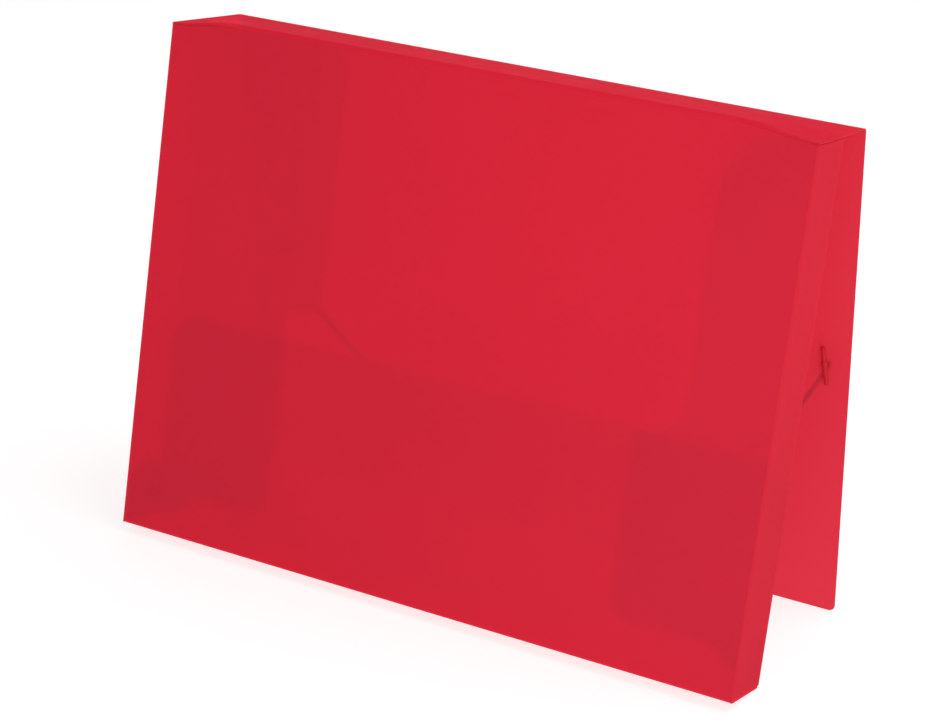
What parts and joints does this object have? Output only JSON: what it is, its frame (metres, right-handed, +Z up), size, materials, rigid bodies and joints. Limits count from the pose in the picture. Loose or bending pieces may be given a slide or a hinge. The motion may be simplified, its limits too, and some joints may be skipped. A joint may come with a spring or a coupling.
{
  "type": "filing box",
  "caption": "Folded plastic filing box standing half open like a tent: a shallow tray with a paper pocket, a spine and a cover on folding creases, closed by an elastic cord.",
  "frame": {"origin": "on the floor, in the middle of the footprint of the half open box", "axes": "+X along the spine to the right, +Y from the tray's big panel towards the cover, +Z up"},
  "size_m": [0.33, 0.121, 0.2535],
  "materials": {
    "sheet": "satin translucent polypropylene",
    "cord": "braided elastic",
    "cord_end": "moulded plastic"
  },
  "bodies": {
    "tray": {"base_panel": "sheet", "left_wall": "sheet", "right_wall": "sheet", "bottom_wall": "sheet", "left_flap": "sheet", "right_flap": "sheet", "pocket_flap": "sheet", "left_corner_tab": "sheet", "right_corner_tab": "sheet"},
    "spine": {"spine": "sheet"},
    "cover": {"cover": "sheet", "elastic_cord": "cord", "left_cord_end": "cord_end", "right_cord_end": "cord_end"}
  },
  "joints": [
    {"name": "spine_fold", "type": "hinge", "parent": "tray", "child": "spine", "pos_m": [0, -0.01845, 0.25293], "axis": [1, 0, 0], "range_deg": [-1, 88]},
    {"name": "cover_fold", "type": "hinge", "parent": "spine", "child": "cover", "pos_m": [0, 0.03655, 0.24239], "axis": [1, 0, 0], "range_deg": [-15, 74]}
  ]
}
